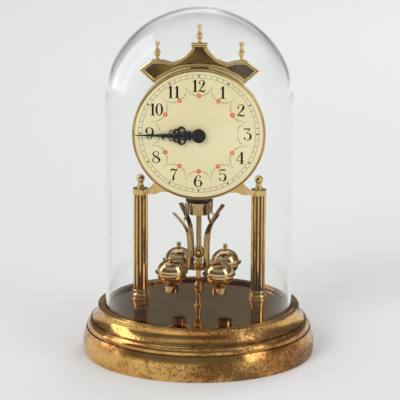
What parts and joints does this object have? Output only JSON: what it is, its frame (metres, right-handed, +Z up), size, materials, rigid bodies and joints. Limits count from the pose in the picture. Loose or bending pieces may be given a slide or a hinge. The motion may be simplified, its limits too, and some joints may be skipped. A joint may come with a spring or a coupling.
{
  "type": "glass-domed mantel clock with a rotary pendulum",
  "caption": "Mantel clock under a lift-off glass dome: round dial on fluted columns above a turning ball pendulum, on a moulded round brass base.",
  "frame": {"origin": "on the table, under the middle of the round base", "axes": "+Z up along the pendulum's axis, -Y out of the dial, +X to the right as seen from the front"},
  "size_m": [0.1524, 0.1524, 0.229],
  "materials": {
    "polished_brass": "polished and lacquered",
    "clear_glass": "clear, polished",
    "black_board": "matte",
    "felt": "pressed felt",
    "steel": "bright zinc",
    "cream_enamel": "gloss cream",
    "black_plastic": "fine moulded",
    "motor": "wound copper",
    "board": "matte",
    "spring_metal": "bright",
    "black_paint": "satin black",
    "gear_plastic": "moulded",
    "cell": "plain wrapper"
  },
  "bodies": {
    "stand": {"base_shell": "polished_brass", "base_cover": "black_board", "base_felt": "felt", "deck_plate": "polished_brass", "dome_seat": "felt", "guide_post": "polished_brass", "tie_rods": "steel", "tie_rod_nuts": "steel", "support_bracket": "polished_brass", "pediment": "polished_brass", "finial_middle": "polished_brass", "finial_left": "polished_brass", "finial_right": "polished_brass", "dial_pan": "polished_brass", "dial_plate": "cream_enamel", "neck_nut": "polished_brass", "case_front": "black_plastic", "case_back": "black_plastic", "step_motor": "motor", "circuit_board": "board", "battery_contacts": "spring_metal", "drive_housing": "black_plastic", "column_foot_left": "polished_brass", "column_foot_right": "polished_brass", "column_tube_left": "polished_brass", "column_tube_right": "polished_brass", "column_capital_left": "polished_brass", "column_capital_right": "polished_brass", "column_finial_left": "polished_brass", "column_finial_right": "polished_brass"},
    "dome": {"glass_dome": "clear_glass"},
    "pendulum": {"suspension_drum": "polished_brass", "pendulum_rod": "polished_brass", "upper_vase": "polished_brass", "pendulum_hub": "polished_brass", "pendulum_cross": "polished_brass", "pendulum_tail": "polished_brass", "ball_knobs": "polished_brass", "ball_caps": "polished_brass", "strap_back_right": "polished_brass", "strap_back_left": "polished_brass", "strap_front_left": "polished_brass", "strap_front_right": "polished_brass", "ball_upper_back_right": "polished_brass", "ball_upper_back_left": "polished_brass", "ball_upper_front_left": "polished_brass", "ball_upper_front_right": "polished_brass", "ball_lower_back_right": "polished_brass", "ball_lower_back_left": "polished_brass", "ball_lower_front_left": "polished_brass", "ball_lower_front_right": "polished_brass"},
    "minute": {"minute_arbor": "steel", "minute_hand": "black_paint", "hand_cap": "black_paint"},
    "hour": {"hour_wheel": "gear_plastic", "hour_hand": "black_paint"},
    "setting": {"setting_wheel": "gear_plastic", "setting_knob": "black_plastic"},
    "battery": {"battery": "cell"}
  },
  "joints": [
    {"name": "dome_lift", "type": "slide", "parent": "stand", "child": "dome", "axis": [0, 0, 1], "range_m": [0, 0.205]},
    {"name": "pendulum_spin", "type": "hinge", "parent": "stand", "child": "pendulum", "pos_m": [0, 0, 0.1], "axis": [0, 0, 1], "range_deg": [-180, 180]},
    {"name": "minute_turn", "type": "hinge", "parent": "stand", "child": "minute", "pos_m": [0, 0, 0.1485], "axis": [0, 1, 0], "continuous": true},
    {"name": "hour_turn", "type": "hinge", "parent": "stand", "child": "hour", "pos_m": [0, 0, 0.1485], "axis": [0, 1, 0], "continuous": true},
    {"name": "setting_turn", "type": "hinge", "parent": "stand", "child": "setting", "pos_m": [0.012, 0, 0.1485], "axis": [0, 1, 0], "continuous": true},
    {"name": "battery_slide", "type": "slide", "parent": "stand", "child": "battery", "axis": [0, 1, 0], "range_m": [0, 0.022]}
  ],
  "couplings": [
    {"joint": "setting_turn", "follows": "minute_turn", "ratio": -0.33333},
    {"joint": "hour_turn", "follows": "minute_turn", "ratio": 0.083333}
  ]
}
